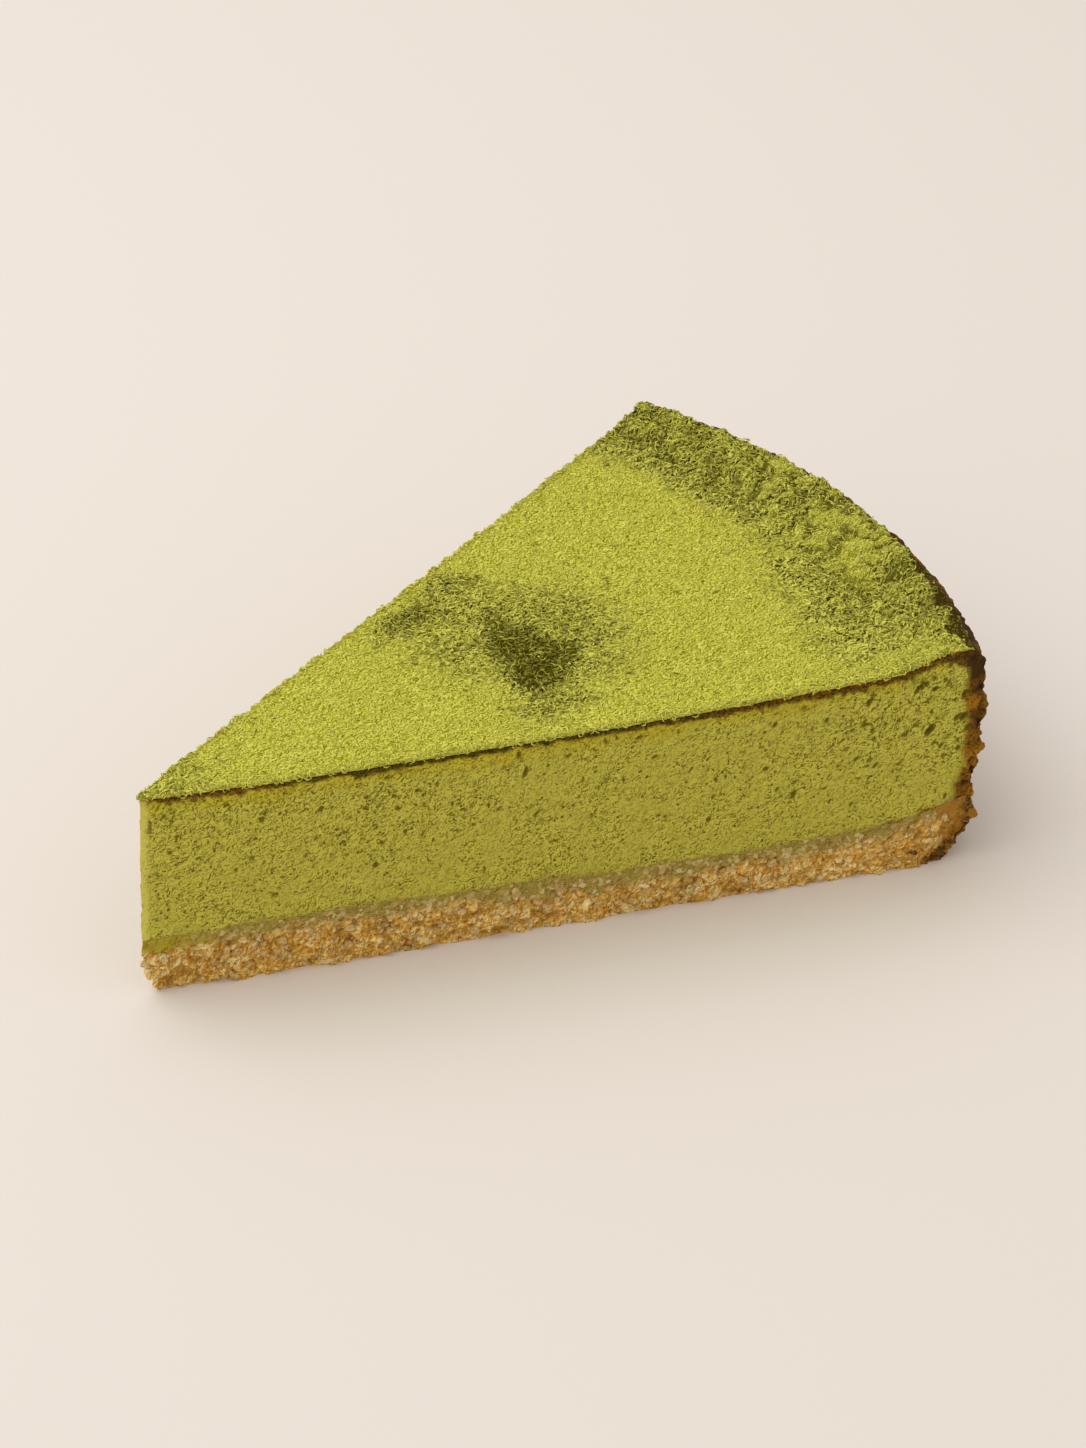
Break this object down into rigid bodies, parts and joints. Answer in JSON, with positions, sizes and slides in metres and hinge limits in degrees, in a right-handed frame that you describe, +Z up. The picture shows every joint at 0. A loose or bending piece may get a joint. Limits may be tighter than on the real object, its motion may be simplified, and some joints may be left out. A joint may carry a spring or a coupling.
{
  "type": "slice of cheesecake",
  "caption": "Wedge of green matcha cheesecake on a crumb base, with a browned craggy outer wall and a thick dusting of powder on top, resting flat on its base.",
  "frame": {"origin": "middle of the slice's box, on the surface that it rests on", "axes": "+X from the tip towards the outer wall along the middle of the slice, +Z up"},
  "size_m": [0.1168, 0.0768, 0.0361],
  "materials": {
    "crumbs": "pressed biscuit crumbs, dry, coarse and matte",
    "filling": "baked green custard, moist and satin, with fine pores and a browned wall",
    "powder": "sifted matcha powder, dull and granular"
  },
  "bodies": {
    "root": {"crumb_base": "crumbs", "filling": "filling", "matcha_dusting": "powder"}
  },
  "joints": []
}
